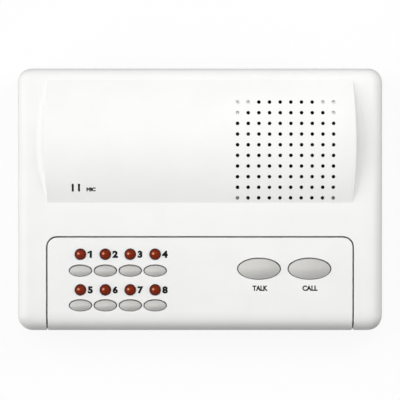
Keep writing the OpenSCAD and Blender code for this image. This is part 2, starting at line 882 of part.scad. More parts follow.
module microphone_boot() {
    color("#26272a") at(-mic_x, mic_v, boot_back) difference() {
        cylinder(d = boot_d, h = capsule_h + boot_front);
        translate([0, 0, -1]) cylinder(d = capsule_d + 2 * screw_gap, h = capsule_h + 1);
        cylinder(d = boot_hole, h = reach);
    }
}

module microphone_capsule() {
    color(steel) at(-mic_x, mic_v, boot_back) cylinder(d = capsule_d, h = capsule_h);
}

module line_board() {
    color(board_tan) translate([line_left, bay_y + line_gap, line_z])
        cube([line_right - line_left, line_l, board_t]);
}

module terminal_block() {
    color(black_plastic) difference() {
        union() {
            translate([-block_w / 2, block_y, block_z]) cube([block_w, block_l, block_h]);
            block_key(slip, bay_z - 1, line_z);
        }
        for (x = way_xs) translate([x, way_y, block_z]) {
            translate([0, 0, -1]) cylinder(d = way_head_d + 3 * slip, h = way_sink + 1);
            cylinder(d = way_screw_d + 2 * screw_gap, h = way_sink + way_screw_l + slip);
            translate([-way_mouth[0] / 2, way_head_d / 2 + 2 * slip, way_sink + way_mouth[1] * slip])
                cube([way_mouth[0], block_l, way_mouth[1]]);
        }
    }
}

module terminal_screws() {
    color("#c9b36a") for (x = way_xs) translate([x, way_y, block_z + way_sink]) difference() {
        union() {
            translate([0, 0, -way_head_h]) cylinder(d = way_head_d, h = way_head_h);
            cylinder(d = way_screw_d, h = way_screw_l);
        }
        translate([-way_head_d, -cross_w / 2, -2 * way_head_h])
            cube([2 * way_head_d, cross_w, 1.5 * way_head_h]);
    }
}

module power_jack() {
    color(black_plastic) translate([-jack_x, jack_y, 0]) {
        difference() {
            union() {
                translate([-jack_w / 2, 0, floor_z]) cube([jack_w, jack_l, line_z - floor_z]);
                translate([0, jack_l - 1, jack_z]) rotate([-90, 0, 0])
                    cylinder(d = jack_collar, h = 1 + wall + jack_gap - jack_lean);
            }
            translate([0, jack_back, jack_z]) rotate([-90, 0, 0]) cylinder(d = jack_bore, h = reach);
        }
        translate([0, jack_back - 1, jack_z]) rotate([-90, 0, 0])
            cylinder(d = jack_pin, h = jack_l - jack_back);
    }
}

// A smooth path through points, and a round tube along it
function bend(a, b, c, d, t) =
    b + (c - a) * t / 2 + (2 * a - 5 * b + 4 * c - d) * t * t / 2 + (3 * b - a - 3 * c + d) * t * t * t / 2;
function path(p, k) = concat(
    [for (i = [0:len(p) - 2], j = [0:k - 1])
        bend(p[max(i - 1, 0)], p[i], p[i + 1], p[min(i + 2, len(p) - 1)], j / k)],
    [p[len(p) - 1]]);
function unit(a) = a / norm(a);

module tube(p, d, sides, k) {
    q = path(p, k);
    last = len(q) - 1;
    way = [for (i = [0:last]) unit(q[min(i + 1, last)] - q[max(i - 1, 0)])];
    start = unit(p[1] - p[0]);
    stop = unit(p[len(p) - 1] - p[len(p) - 2]);
    along = [for (i = [0:last]) i == 0 ? start : i == last ? stop : way[i]];
    rings = [for (i = [0:last], s = [0:sides - 1])
        let (x = unit(cross(along[i], [1, 0, 0])), y = cross(along[i], x), a = s * 360 / sides)
        q[i] + d / 2 * (cos(a) * x + sin(a) * y)];
    skin = [for (i = [0:last - 1], s = [0:sides - 1])
        let (a = i * sides + s, b = i * sides + (s + 1) % sides)
        each [[a, a + sides, b], [b, a + sides, b + sides]]];
    e = last * sides;
    caps = [for (s = [1:sides - 2]) each [[0, s, s + 1], [e, e + s + 1, e + s]]];
    polyhedron(rings, concat(skin, caps));
}

// Inner wires, by points along their runs: straight ends, and shares of a run between them
loom_d = 4.4;
wire_d = 1.6;
wire_space = 1.5;
wire_out = 2;
wire_dip = 3;
wire_turn = 5;
wire_in = 6;
loom_u = -8;
loom_x = -20;
loom_from_bay = 3;
loom_y = bay_y + line_gap + loom_from_bay;
loom_z = line_z + board_t;
loom_run = 50;
loom_drift = 9;
loom_lift = 10;
loom_in = 7;
loom_arch = 4.5;
loom_drop = 3.5;
function loom_mid(drift, run, lift) =
    [loom_x + drift * loom_drift, loom_y - run * loom_run, parting_z + lift * loom_lift];
loom_pts = [[loom_x, loom_y, loom_z], [loom_x, loom_y, loom_z + wire_turn],
            loom_mid(0.1, 0.2, 1), loom_mid(0.55, 0.6, 1.1), loom_mid(1, 1, 1.2),
            on(loom_u, panel_v - wire_out / 2, board_n + loom_arch),
            on(loom_u, panel_v - loom_in, board_n + loom_drop), on(loom_u, panel_v - loom_in, board_n)];
tag_in = 1.2;
tag_v = grille_v - speaker_r + tag_in;
tag_n = seat_n + clip_z;
function speaker_pts(u) = [on(u, tag_v, tag_n), on(u, tag_v, tag_n - wire_out),
                           on(u, tag_v - wire_turn, tag_n - wire_dip),
                           on(u, panel_v - wire_out, board_n + wire_turn),
                           on(u, panel_v - wire_in, board_n + wire_dip), on(u, panel_v - wire_in, board_n)];
mic_end = (lamp_uv[0][0] + lamp_uv[1][0]) / 2;
function mic_pts(s) = [on(-mic_x + s, mic_v, boot_back), on(-mic_x + s, mic_v, boot_back - wire_out),
                       on(-mic_x + s + wire_out, mic_v - wire_in - wire_out, boot_back - 2 * wire_out),
                       on(mic_end + s - wire_out, panel_v + wire_in, board_n + wire_dip),
                       on(mic_end + s, panel_v - wire_dip, board_n + wire_turn),
                       on(mic_end + s, panel_v - wire_in, board_n + wire_dip),
                       on(mic_end + s, panel_v - wire_in, board_n)];

module line_loom() {
    color("#8a8d92") tube(loom_pts, loom_d, 10, 4);
}

module speaker_leads() {
    color("#a23a2e") for (s = [-1, 1]) tube(speaker_pts(grille_x + s * wire_space), wire_d, 8, 4);
}

module microphone_leads() {
    color("#3f5f9a") for (s = [-1, 1]) tube(mic_pts(s * wire_space), wire_d, 8, 4);
}

front_cover();
button_panel();
rear_cover();
rubber_feet();
case_screws();
small_screws();
for (i = [1:8]) station_key(i);
wide_key(talk_uv);  // talk_key
wide_key(call_uv);  // call_key
for (i = [1:8]) plunger(station_uv[i - 1]);
plunger(talk_uv);  // talk_plunger
plunger(call_uv);  // call_plunger
for (i = [1:8]) station_lamp(i);
lamp_spacers();
lamp_leads();
key_board();
push_switches();
amplifier_chip();
capacitors();
speaker_basket();
speaker_magnet();
speaker_cone();
speaker_dust_cap();
speaker_gasket();
speaker_clips();
microphone_capsule();
microphone_boot();
line_board();
terminal_block();
terminal_screws();
power_jack();
line_loom();
speaker_leads();
microphone_leads();
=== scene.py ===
# %% [markdown]
# # A hands-free desk intercom
#
# This notebook dresses a desk intercom: a low white housing with a raised hood over the speaker, a
# separate button panel in front, eight station keys with a red lamp each, and a talk and a call key.
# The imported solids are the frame. They give the sizes, the places and the motion, and stay as they are.
# What shows most is modelled again here with softened edges, and every piece gets a finish of its own.

import json
import math

import bmesh
import bpy
from mathutils import Matrix, Vector


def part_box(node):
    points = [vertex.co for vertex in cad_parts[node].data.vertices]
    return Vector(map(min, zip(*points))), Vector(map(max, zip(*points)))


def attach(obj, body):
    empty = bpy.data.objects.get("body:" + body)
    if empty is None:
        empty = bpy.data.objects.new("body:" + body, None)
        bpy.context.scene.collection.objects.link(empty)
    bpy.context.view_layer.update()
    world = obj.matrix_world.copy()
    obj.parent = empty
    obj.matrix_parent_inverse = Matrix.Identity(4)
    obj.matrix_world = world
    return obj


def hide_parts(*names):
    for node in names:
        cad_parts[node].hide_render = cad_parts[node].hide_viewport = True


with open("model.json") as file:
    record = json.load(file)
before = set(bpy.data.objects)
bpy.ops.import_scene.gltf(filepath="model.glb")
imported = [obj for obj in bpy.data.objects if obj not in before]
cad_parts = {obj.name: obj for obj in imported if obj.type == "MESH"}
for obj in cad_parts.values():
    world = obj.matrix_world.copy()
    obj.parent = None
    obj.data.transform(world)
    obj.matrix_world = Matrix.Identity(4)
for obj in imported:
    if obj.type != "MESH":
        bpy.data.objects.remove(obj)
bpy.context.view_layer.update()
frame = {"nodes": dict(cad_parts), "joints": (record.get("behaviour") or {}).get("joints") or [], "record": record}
mm = 0.001

# %% [markdown]
# ## The tilted face
#
# The face leans towards the user, so it is easier to model everything on it lying flat and to turn the
# finished mesh into place. The keys press square into the face, so their joints give its tilt. Below,
# u runs to the right, v up the face from its middle and n out of it, and `face` takes those to the frame.

# %% Place of the face
body_l = 122 * mm
front_h = 29 * mm
corner_r = 6.5 * mm
edge_r = 5 * mm
wall = 2.2 * mm
press = Vector(frame["joints"][0]["axis"])
tilt = math.atan2(press.y, -press.z)
cover_low, cover_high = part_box("front_cover")
half_w = cover_high.x
half_l = body_l / 2
parting_z = cover_low.z
under_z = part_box("rear_cover")[0].z
flat_l = half_l - edge_r
face_z = under_z + front_h + half_l * math.sin(tilt)
face_y = cover_low.y + flat_l * math.cos(tilt) - edge_r * math.sin(tilt) + edge_r
face = Matrix.Translation((0, face_y, face_z)) @ Matrix.Rotation(tilt, 4, "X")
to_face = face.inverted()
print("face tilted by", round(math.degrees(tilt), 2), "degrees")
print("its middle is at", [round(c / mm, 2) for c in face.translation], "mm")

# %% [markdown]
# ## Finishes
#
# Moulded plastic is never one flat colour: the pigment drifts a little, the gloss is uneven, and the
# mould leaves a fine grain. Each finish below drives colour, roughness and relief from noise in Object
# coordinates, so the pattern stays on the piece from every side and survives a bake.

# %% Tools for finishes
def new_finish(name):
    material = bpy.data.materials.new(name)
    material.use_nodes = True
    tree = material.node_tree
    return material, tree, tree.nodes["Principled BSDF"]


def grain(tree, scale, detail=3.0):
    place = tree.nodes.new("ShaderNodeTexCoord")
    noise = tree.nodes.new("ShaderNodeTexNoise")
    noise.inputs["Scale"].default_value = scale
    noise.inputs["Detail"].default_value = detail
    tree.links.new(place.outputs["Object"], noise.inputs["Vector"])
    return noise.outputs["Fac"]


def tint(tree, value, low, high, socket):
    ramp = tree.nodes.new("ShaderNodeValToRGB")
    ramp.color_ramp.elements[0].position = 0.3
    ramp.color_ramp.elements[0].color = (*low, 1)
    ramp.color_ramp.elements[1].position = 0.7
    ramp.color_ramp.elements[1].color = (*high, 1)
    tree.links.new(value, ramp.inputs["Fac"])
    tree.links.new(ramp.outputs["Color"], socket)


def fade(tree, value, start, stop, low, high):
    span = tree.nodes.new("ShaderNodeMapRange")
    limits = {"From Min": start, "From Max": stop, "To Min": low, "To Max": high}
    for socket, limit in limits.items():
        span.inputs[socket].default_value = limit
    tree.links.new(value, span.inputs["Value"])
    return span.outputs["Result"]


def relief(tree, value, shader, depth, strength):
    bump = tree.nodes.new("ShaderNodeBump")
    bump.inputs["Distance"].default_value = depth
    bump.inputs["Strength"].default_value = strength
    tree.links.new(value, bump.inputs["Height"])
    tree.links.new(bump.outputs["Normal"], shader.inputs["Normal"])


def plain_finish(slot, low, high, rough, drift=60, texture=1800, depth=0.02 * mm, strength=0.3, **sockets):
    material, tree, shader = new_finish(slot + "_finish")
    finishes[slot] = material
    for socket, value in sockets.items():
        shader.inputs[socket].default_value = value
    tint(tree, grain(tree, drift), low, high, shader.inputs["Base Color"])
    uneven = fade(tree, grain(tree, texture / 3), 0.3, 0.7, *rough)
    tree.links.new(uneven, shader.inputs["Roughness"])
    relief(tree, grain(tree, texture), shader, depth, strength)


# %% Finishes of this object
finishes = {}
plain_finish("shell_white", (0.872, 0.872, 0.862), (0.892, 0.892, 0.884), (0.48, 0.56),
             depth=0.012 * mm, strength=0.25, **{"Specular IOR Level": 0.1})
plain_finish("key_grey", (0.54, 0.535, 0.515), (0.58, 0.575, 0.555), (0.42, 0.5),
             depth=0.008 * mm, strength=0.2, **{"Specular IOR Level": 0.25})
plain_finish("lamp_red", (0.19, 0.015, 0.002), (0.23, 0.02, 0.003), (0.16, 0.22), drift=400,
             depth=0.004 * mm, strength=0.1, **{"Specular IOR Level": 0.08})
plain_finish("rubber_black", (0.03, 0.03, 0.032), (0.05, 0.05, 0.052), (0.7, 0.85), strength=0.6)
plain_finish("steel", (0.5, 0.51, 0.52), (0.62, 0.63, 0.64), (0.28, 0.42), drift=300, Metallic=1.0)
plain_finish("board_tan", (0.36, 0.22, 0.085), (0.46, 0.3, 0.13), (0.4, 0.55), drift=500)
plain_finish("black_plastic", (0.02, 0.02, 0.022), (0.035, 0.035, 0.037), (0.4, 0.55))
plain_finish("ivory_plastic", (0.66, 0.62, 0.52), (0.74, 0.7, 0.6), (0.4, 0.5))
plain_finish("capacitor_sleeve", (0.025, 0.04, 0.09), (0.045, 0.065, 0.13), (0.18, 0.28))
plain_finish("magnet_dark", (0.035, 0.035, 0.038), (0.06, 0.06, 0.064), (0.55, 0.75), strength=0.5)
plain_finish("paper_black", (0.02, 0.018, 0.017), (0.045, 0.04, 0.037), (0.75, 0.9), drift=900,
             strength=0.7)
plain_finish("felt_grey", (0.07, 0.066, 0.06), (0.15, 0.14, 0.13), (0.9, 1.0), drift=1500, strength=1.0)
plain_finish("brass", (0.52, 0.38, 0.15), (0.62, 0.47, 0.2), (0.25, 0.4), drift=300, Metallic=1.0)
plain_finish("loom_grey", (0.2, 0.21, 0.22), (0.28, 0.29, 0.3), (0.45, 0.6))
plain_finish("wire_red", (0.32, 0.03, 0.02), (0.42, 0.05, 0.035), (0.35, 0.45))
plain_finish("wire_blue", (0.03, 0.08, 0.28), (0.05, 0.12, 0.38), (0.35, 0.45))
plain_finish("print_black", (0.008, 0.008, 0.009), (0.014, 0.014, 0.015), (0.45, 0.6), drift=900,
             **{"Specular IOR Level": 0.05})
print("finishes:", len(finishes))

# %% [markdown]
# A lamp's lens is not one red either, and here its light and shade are painted into that colour. A painted shade
# darkens the rim, where little light comes back from the dome. A painted highlight, a pale spot a little to the
# upper left of the tip, stands for the mirrored light. Each lens has a UV map of its own disc, 0 to 1 across, and
# these two painted marks are drawn on it.

# %% Painted shade and highlight on the lens
lens_tree = finishes["lamp_red"].node_tree
lens_shader = lens_tree.nodes["Principled BSDF"]
# Two painted marks on the lens colour: a darker rim as painted shade, and a pale spot as painted highlight.
painted_rim_shade = {"centre": (0.5, 0.5), "start": 0.3, "stop": 0.5, "low": 0.0, "high": 0.85}
painted_lens_highlight = {"centre": (0.32, 0.58), "start": 0.03, "stop": 0.14, "low": 0.8, "high": 0.0}


def painted_lens_spot(colour, centre, start, stop, low, high):
    base = lens_shader.inputs["Base Color"].links[0].from_socket
    place = lens_tree.nodes.new("ShaderNodeTexCoord")
    away = lens_tree.nodes.new("ShaderNodeVectorMath")
    away.operation = "DISTANCE"
    away.inputs[1].default_value = (*centre, 0)
    lens_tree.links.new(place.outputs["UV"], away.inputs[0])
    mix = lens_tree.nodes.new("ShaderNodeMix")
    mix.data_type = "RGBA"
    mix.inputs["B"].default_value = (*colour, 1)
    share = fade(lens_tree, away.outputs["Value"], start, stop, low, high)
    lens_tree.links.new(share, mix.inputs["Factor"])
    lens_tree.links.new(base, mix.inputs["A"])
    lens_tree.links.new(mix.outputs["Result"], lens_shader.inputs["Base Color"])


# Painted shade: the rim of the lens is darkened in its colour.
painted_lens_spot((0.05, 0.004, 0.002), **painted_rim_shade)
# Painted highlight: a pale off-centre spot in the lens colour stands in for mirrored light.
painted_lens_spot((0.9, 0.42, 0.24), **painted_lens_highlight)
print("lens finish:", len(lens_tree.nodes), "shader nodes")

# %% [markdown]
# ## Carried-over solids
#
# The pieces inside keep the solids' own shape: their form is right, and they are seen only through the
# speaker holes or with the housing open. They take the finish that the record names for their slot.

# %% Finish of the solids
for part in frame["record"]["subparts"]:
    solid = frame["nodes"][part["node"]]
    solid.data.materials.clear()
    solid.data.materials.append(finishes[part["material_slot"]])

# %% [markdown]
# ## Modelling tools
#
# A moulded shell is easiest as a skin: model its outer surface only, then give it a wall with solidify.
# The wall turns every hole in the skin into a real hole, as deep as the wall is thick. Edges that show
# get a small bevel, because no moulded edge is perfectly sharp.

# %% Tools for shells
tiny = 0.001 * mm


def arc(centre, radius, start, stop, steps):
    turns = [start + (stop - start) * k / steps for k in range(steps + 1)]
    return [(centre[0] + radius * math.cos(a), centre[1] + radius * math.sin(a)) for a in turns]


def loop(bm, points, height=0.0):
    corners = [bm.verts.new((x, y, height)) for x, y in points]
    return [bm.edges.new(pair) for pair in zip(corners, corners[1:] + corners[:1])]


def only(kind, items):
    return [item for item in items if isinstance(item, kind)]


def flat_fill(bm, edges):
    filled = bmesh.ops.triangle_fill(bm, use_beauty=True, use_dissolve=False, edges=edges, normal=(0, 0, 1))
    return only(bmesh.types.BMFace, filled["geom"])


def round_edges(bm, edges, radius, segments):
    bmesh.ops.bevel(bm, geom=edges, offset=radius, offset_type="OFFSET", segments=segments,
                    profile=0.5, affect="EDGES", material=-1)


def cut(bm, point, normal, faces, drop):
    edges = {e for f in faces for e in f.edges}
    corners = {v for f in faces for v in f.verts}
    bmesh.ops.bisect_plane(bm, geom=[*faces, *edges, *corners], dist=tiny,
                           plane_co=point, plane_no=normal, clear_outer=drop)


def nearest(items, place, where):
    return min(items, key=lambda item: (where(item) - Vector(place)).length)


def nearest_vert(bm, place):
    return nearest(bm.verts, place, lambda vert: vert.co)


def nearest_face(bm, place):
    return nearest(bm.faces, place, lambda face_near: face_near.calc_center_median())


def outside_up(bm, top_face):
    bmesh.ops.recalc_face_normals(bm, faces=bm.faces[:])
    if top_face.normal.z < 0:
        bmesh.ops.reverse_faces(bm, faces=bm.faces[:])


def flat_crease(edge):
    return edge.calc_face_angle() > math.radians(10) and all(abs(v.co.z) < tiny for v in edge.verts)


def finish_piece(bm, name, slot, place, body="housing", stands_for=(), sharp=35, crease=None):
    for f in bm.faces:
        f.smooth = True
    for e in bm.edges:
        if len(e.link_faces) == 2 and (e.calc_face_angle() > math.radians(sharp) or crease and crease(e)):
            e.smooth = False
    mesh = bpy.data.meshes.new(name)
    bm.to_mesh(mesh)
    bm.free()
    mesh.transform(place)
    mesh.materials.append(finishes[slot])
    piece = bpy.data.objects.new(name, mesh)
    bpy.context.scene.collection.objects.link(piece)
    even = piece.modifiers.new("even_shading", "WEIGHTED_NORMAL")
    even.keep_sharp = True
    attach(piece, body)
    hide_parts(*stands_for)
    print(name, len(mesh.polygons), "faces")
    return piece


# %% [markdown]
# ## Front cover
#
# The cover is a rounded slab without its floor. A box with its upright edges rounded, and then its upper
# edges, gives the walls. The front is left open for the button panel, and the flat face is filled in
# around that gap and around the foot of the hood.

# %% Walls of the front cover
slab_deep = 60 * mm
panel_w = 142.8 * mm
panel_l = 43.6 * mm
panel_r = 4.7 * mm
seam = 0.7 * mm
round_steps = 8
corner_steps = 6
panel_v = panel_l - half_l
parting = to_face @ Vector((0, 0, parting_z))
upward = to_face.to_3x3() @ Vector((0, 0, 1))


def rounded_slab():
    bm = bmesh.new()
    corners = bmesh.ops.create_cube(bm, size=1.0)["verts"]
    bmesh.ops.scale(bm, vec=(2 * half_w, 2 * half_l, slab_deep), verts=corners)
    bmesh.ops.translate(bm, vec=(0, 0, -slab_deep / 2), verts=corners)
    upright = [e for e in bm.edges if abs(e.verts[0].co.z - e.verts[1].co.z) > slab_deep / 2]
    round_edges(bm, upright, corner_r, round_steps)
    rim = [e for e in bm.edges if all(abs(v.co.z) < tiny for v in e.verts)]
    round_edges(bm, rim, edge_r, round_steps)
    return bm


def panel_line(grow):
    side = panel_w / 2 + grow
    top = panel_v + grow
    r = panel_r + grow
    line = arc((r - side, top - r), r, math.pi, math.pi / 2, corner_steps)
    line += arc((side - r, top - r), r, math.pi / 2, 0, corner_steps)
    return [(-side, -flat_l), *line, (side, -flat_l)]


def front_faces(bm, side):
    middles = {f: f.calc_center_median() for f in bm.faces}
    return [f for f, middle in middles.items() if middle.y < -flat_l and abs(middle.x) < side]


cover = rounded_slab()
cut(cover, parting, -upward, cover.faces[:], drop=True)
flat = [f for f in cover.faces if all(abs(v.co.z) < tiny for v in f.verts)]
bmesh.ops.delete(cover, geom=flat, context="FACES_ONLY")
gap_line = panel_line(seam / 2)
gap_side = gap_line[-1][0]
for side in (-gap_side, gap_side):
    cut(cover, (side, 0, 0), (1, 0, 0), front_faces(cover, half_w), drop=False)
bmesh.ops.delete(cover, geom=front_faces(cover, gap_side), context="FACES")
chain = [cover.verts.new((x, y, 0)) for x, y in gap_line[1:-1]]
chain = [nearest_vert(cover, (*gap_line[0], 0)), *chain, nearest_vert(cover, (*gap_line[-1], 0))]
for pair in zip(chain, chain[1:]):
    cover.edges.new(pair)
print("cover walls:", len(cover.faces), "faces")

# %% [markdown]
# The hood is an arc from front to back, cut off by a cone at its sides, so its side walls are crescents
# that run out at the corners. It starts as a grid whose lines are laid where the speaker holes and the
# microphone slots need them: each such cell is inset, and its inner outline moved onto the hole's.

# %% Grid of the hood
hood_front = 1.4 * mm
hood_l = 57 * mm
hood_rise = 7 * mm
hood_side_r = 76.6 * mm
hood_draft = math.radians(30)
flank_steps = [0, 0.2, 0.4, 0.58, 0.74, 0.87, 0.97]
shoulder = 0.6 * mm
hood_back = hood_l - hood_front
hood_v = hood_l / 2 - hood_front
hood_arc = (hood_l ** 2 / 4 + hood_rise ** 2) / (2 * hood_rise)
grille_n = 10
grille_pitch = 4.95 * mm
grille_x = 39.7 * mm
grille_v = 23.1 * mm
mic_x = -57.7 * mm
mic_v = 5.6 * mm
slot_pitch = 2.9 * mm
plain_n = 5


def hood_height(v):
    return hood_rise - hood_arc + math.sqrt(hood_arc ** 2 - (v - hood_v) ** 2)


def hood_half(v, height):
    return math.sqrt((hood_side_r - height * math.tan(hood_draft)) ** 2 - (v - hood_v) ** 2)


grille_us = [grille_x + (k - grille_n / 2) * grille_pitch for k in range(grille_n + 1)]
grille_vs = [grille_v + (k - grille_n / 2) * grille_pitch for k in range(grille_n + 1)]
mic_us = [mic_x - slot_pitch, mic_x, mic_x + slot_pitch]
plain_us = [mic_us[-1] + (grille_us[0] - mic_us[-1]) * k / plain_n for k in range(1, plain_n)]
columns = mic_us + plain_us + grille_us
rows = [-hood_front, *grille_vs[1:], (grille_vs[-1] + hood_back) / 2, hood_back]
side_n = len(flank_steps) + 1
lines_n = len(columns) + 2 * side_n
sheet = bmesh.ops.create_grid(cover, x_segments=lines_n - 1, y_segments=len(rows) - 1, size=1.0)
sheet_verts = sheet["verts"]
grid_us = sorted({round(v.co.x, 4) for v in sheet_verts})
grid_vs = sorted({round(v.co.y, 4) for v in sheet_verts})
print("hood grid:", len(grid_us), "by", len(grid_vs), "lines; wanted", lines_n, "by", len(rows))

# %% Grid lines into place
for vert in sheet_verts:
    i = grid_us.index(round(vert.co.x, 4))
    v = rows[grid_vs.index(round(vert.co.y, 4))]
    height = 0.0 if v in (rows[0], rows[-1]) else hood_height(v)
    from_side = min(i, lines_n - 1 - i)
    sign = -1 if i < side_n else 1
    if from_side < len(flank_steps):
        foot_u = hood_half(v, 0)
        u = sign * (foot_u + (hood_half(v, height) - foot_u) * flank_steps[from_side])
    elif from_side < side_n:
        u = sign * (hood_half(v, height) - shoulder * height / hood_rise)
    else:
        u = columns[i - side_n]
    vert.co = (u, v, 0)
print("hood foot:", round(2 * hood_half(hood_v, 0) / mm, 1), "mm across")

# %% Speaker holes and microphone slots
grille_hole = 1.8 * mm
mouth_r = 27 * mm
slot_w = 1 * mm
slot_l = 3.9 * mm
hole_cuts = 3
hole_step = math.pi / 8
speaker_inset = 1 * mm
slot_inset = 0.5 * mm


def cells_between(us, vs):
    found = []
    for f in {f for v in sheet_verts for f in v.link_faces}:
        middle = f.calc_center_median()
        if us[0] < middle.x < us[-1] and vs[0] < middle.y < vs[-1]:
            found.append(f)
    return found


def hole_centre(cell):
    middle = cell.calc_center_median()
    u = nearest(grille_us[:-1], (middle.x, 0), lambda line: Vector((line + grille_pitch / 2, 0)))
    v = nearest(grille_vs[:-1], (middle.y, 0), lambda line: Vector((line + grille_pitch / 2, 0)))
    return Vector((u + grille_pitch / 2, v + grille_pitch / 2, 0))


def make_round(cell, centre):
    for vert in cell.verts:
        ray = vert.co - centre
        turn = round(math.atan2(ray.y, ray.x) / hole_step) * hole_step
        vert.co = centre + Vector((math.cos(turn), math.sin(turn), 0)) * grille_hole / 2


def make_slot(cell):
    low = Vector((min(v.co.x for v in cell.verts), min(v.co.y for v in cell.verts)))
    high = Vector((max(v.co.x for v in cell.verts), max(v.co.y for v in cell.verts)))
    middle_u = mic_x + math.copysign(slot_pitch / 2, cell.calc_center_median().x - mic_x)
    straight = (slot_l - slot_w) / 2
    for vert in cell.verts:
        across = 2 * (vert.co.x - low.x) / (high.x - low.x) - 1
        along = 2 * (vert.co.y - low.y) / (high.y - low.y) - 1
        at_end = abs(along) > 0.999
        turn = across * math.pi / 2
        side = math.sin(turn) if at_end else math.copysign(1, across)
        end = math.copysign(straight + slot_w / 2 * math.cos(turn), along) if at_end else along * straight
        vert.co = (middle_u + side * slot_w / 2, mic_v + end, 0)


speaker_cells = cells_between(grille_us, [-hood_front, *grille_vs[1:]])
mic_cells = cells_between(mic_us, grille_vs[1:3])
cell_edges = {e for f in speaker_cells + mic_cells for e in f.edges}
bmesh.ops.bisect_edges(cover, edges=list(cell_edges), cuts=hole_cuts)
bmesh.ops.inset_individual(cover, faces=speaker_cells, thickness=speaker_inset, use_even_offset=True)
bmesh.ops.inset_individual(cover, faces=mic_cells, thickness=slot_inset, use_even_offset=True)
through = []
blind = []
for cell in speaker_cells:
    centre = hole_centre(cell)
    make_round(cell, centre)
    in_mouth = math.hypot(centre.x - grille_x, centre.y - grille_v) + grille_hole / 2 < mouth_r
    if in_mouth or centre.y < grille_v:
        through.append(cell)
    else:
        blind.append(centre)
for cell in mic_cells:
    make_slot(cell)
bmesh.ops.delete(cover, geom=through + mic_cells, context="FACES_ONLY")
print("speaker holes:", len(through), "through and", len(blind), "blind; microphone slots:", len(mic_cells))

# %% [markdown]
# Now the flat grid is lifted onto the arc. At the sides it climbs along a hollow curve, as a moulded
# flank does where it runs out into the face. The foot stays on the face, where one fill closes the area
# between the hood's foot, the gap for the panel and the rounded edges.

# %% Hood lifted and face filled
flank_power = 2.2
strip_v = -10 * mm


def on_hood(place):
    in_length = -hood_front - tiny < place.y < hood_back + tiny
    return in_length and abs(place.z) < tiny and abs(place.x) < hood_side_r + tiny


for vert in {v for f in cover.faces for v in f.verts if on_hood(v.co)}:
    height = max(hood_height(vert.co.y), 0)
    foot_u = hood_half(vert.co.y, 0)
    flank_w = foot_u - hood_half(vert.co.y, height)
    climb = (foot_u - abs(vert.co.x)) / flank_w if flank_w > tiny else 1
    vert.co.z = height * min(max(climb, 0), 1) ** flank_power
bmesh.ops.remove_doubles(cover, verts=cover.verts[:], dist=tiny)
open_edges = [e for e in cover.edges if len(e.link_faces) < 2 and all(abs(v.co.z) < tiny for v in e.verts)]
filled = flat_fill(cover, open_edges)
outside_up(cover, nearest_face(cover, (0, strip_v, 0)))
print("face filled with", len(filled), "triangles from", len(open_edges), "edges")

# %% [markdown]
# The front edge of the cover and of the panel rolls off over a longer stretch than the other edges. It
# is bent down last, so that both pieces follow one curve: a parabola that starts behind the front edge
# and fades out down the wall, to nothing at the parting line. A few cuts across the face give it points
# to bend at. Rims on the outer surface are found by their depth below the rounded slab, which is zero.

# %% Tools for the front edge and the rims
roll_v = -52.3 * mm
roll_rate = 0.04 / mm
roll_cuts = 4
on_surface = 0.05 * mm


def slab_depth(place):
    corner_u = abs(place.x) - half_w + corner_r
    corner_v = abs(place.y) - half_l + corner_r
    if corner_u > 0 and corner_v > 0:
        from_wall = corner_r - math.hypot(corner_u, corner_v)
    else:
        from_wall = corner_r - max(corner_u, corner_v)
    from_face = -place.z
    if from_wall < edge_r and from_face < edge_r:
        return edge_r - math.hypot(edge_r - from_wall, edge_r - from_face)
    return min(from_wall, from_face)


def outer_rims(bm, angle=60):
    sharp = [e for e in bm.edges if len(e.link_faces) == 2 and e.calc_face_angle() > math.radians(angle)]
    return [e for e in sharp if all(abs(slab_depth(v.co)) < on_surface for v in e.verts)]


def parting_rims(bm):
    return [e for e in outer_rims(bm) if all(abs((v.co - parting).dot(upward)) < tiny for v in e.verts)]


def cut_front(bm):
    for k in range(roll_cuts):
        place = (0, roll_v - k * (flat_l + roll_v) / roll_cuts, 0)
        cut(bm, place, (0, 1, 0), bm.faces[:], drop=False)


def roll_front(bm):
    for vert in bm.verts:
        past = roll_v - vert.co.y
        if past > 0:
            foot = parting.z - (vert.co.y - parting.y) * upward.y / upward.z
            share = (vert.co.z - foot) / (-edge_r - foot)
            drop = roll_rate * past ** 2 * min(max(share, 0), 1)
            vert.co += Vector((0, -drop * math.tan(tilt), -drop))


# %% [markdown]
# Solidify gives the cover its wall. It moves the inner skin square to the arc, which would lean the
# speaker holes apart, so the inner points under the grille and the microphone are spread back until the
# holes run straight down, as a mould's pins leave them. In the grille's two upper corners, outside the
# speaker's mouth, the holes are pits.

# %% Wall and softened edges of the front cover
rim_soft = 0.15 * mm
parting_soft = 0.5 * mm
soft_steps = 2
blind_depth = 1.8 * mm
grille_reach = 26 * mm
mic_reach = 3 * mm
under_arc = hood_arc - wall


def under_holes(place):
    by_hole = abs(place.x - grille_x) < grille_reach or abs(place.x - mic_x) < mic_reach
    if not by_hole or abs(place.y - hood_v) >= hood_l / 2:
        return False
    return hood_height(place.y) - 1.5 * wall < place.z < hood_height(place.y) - wall / 2


cut_front(cover)
bmesh.ops.solidify(cover, geom=cover.faces[:], thickness=wall)
round_edges(cover, parting_rims(cover), parting_soft, soft_steps)
round_edges(cover, outer_rims(cover), rim_soft, soft_steps)
for vert in cover.verts:
    if under_holes(vert.co):
        v = hood_v + (vert.co.y - hood_v) * hood_arc / under_arc
        vert.co.yz = (v, hood_rise - hood_arc + math.sqrt(under_arc ** 2 - (v - hood_v) ** 2))
for centre in blind:
    bottom = nearest_face(cover, (centre.x, centre.y, hood_height(centre.y)))
    pit = bmesh.ops.extrude_discrete_faces(cover, faces=[bottom])["faces"][0]
    bmesh.ops.translate(cover, vec=(0, 0, -blind_depth), verts=pit.verts[:])
roll_front(cover)
finish_piece(cover, "front_cover_shell", "shell_white", face, stands_for=["front_cover"],
             crease=flat_crease)

